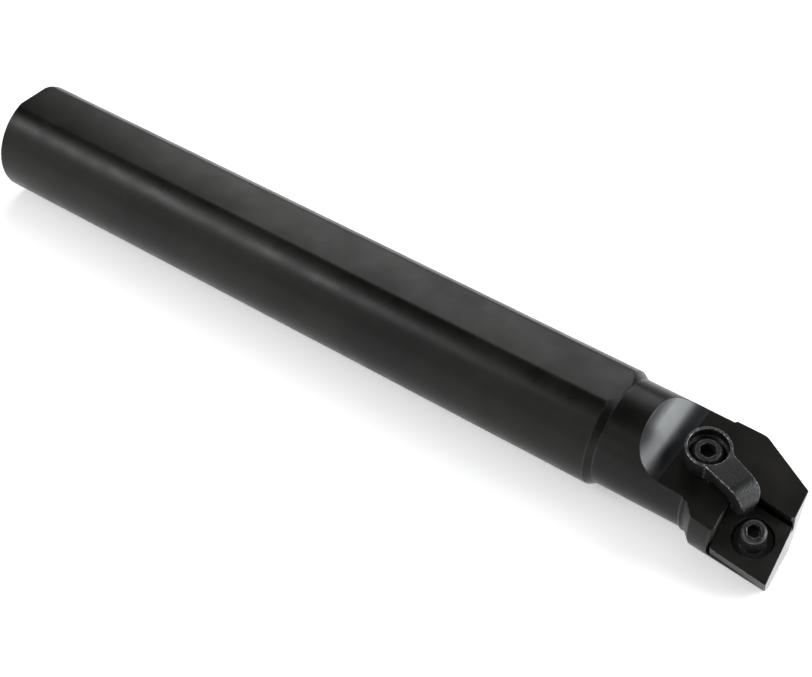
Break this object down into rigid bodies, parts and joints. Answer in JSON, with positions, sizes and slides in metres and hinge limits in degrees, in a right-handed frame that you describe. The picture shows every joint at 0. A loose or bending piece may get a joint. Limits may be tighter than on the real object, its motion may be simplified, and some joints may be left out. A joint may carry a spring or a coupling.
{
  "type": "boring bar",
  "caption": "Indexable boring bar: flatted round shank, relieved head with a tilted pocket, shim, lock pin and finger clamp for a rhombic insert.",
  "frame": {"origin": "centre of the back end face, on the shank axis", "axes": "+X along the bar to the head, +Z the normal of the upper clamping flat, cutting corner on the -Y side"},
  "size_m": [0.1996, 0.027, 0.023],
  "materials": {
    "bar_steel": "black oxide, satin",
    "shim_carbide": "ground sintered carbide",
    "pin_steel": "black oxide, semi-bright",
    "clamp_steel": "black oxide over a fine cast grain",
    "screw_steel": "black oxide, semi-bright"
  },
  "bodies": {
    "base": {"bar": "bar_steel", "shim": "shim_carbide"},
    "pin": {"lock_pin": "pin_steel"},
    "finger": {"clamp": "clamp_steel"},
    "screw": {"clamp_screw": "screw_steel"}
  },
  "joints": [
    {"name": "clamp_screw_turn", "type": "hinge", "parent": "base", "child": "screw", "pos_m": [0.17848, -0.00127, 0.00526], "axis": [0.061, -0.199, 0.9781], "range_deg": [0, 540]},
    {"name": "clamp_lift", "type": "slide", "parent": "base", "child": "finger", "axis": [0.061, -0.199, 0.9781], "range_m": [0, 0.003]},
    {"name": "lock_pin_turn", "type": "hinge", "parent": "base", "child": "pin", "pos_m": [0.19329, -0.00824, -0.00119], "axis": [0.0802, -0.3863, 0.9189], "range_deg": [0, 360]}
  ],
  "couplings": [
    {"joint": "clamp_screw_turn", "follows": "clamp_lift", "rad_per_m": 3141.6}
  ]
}
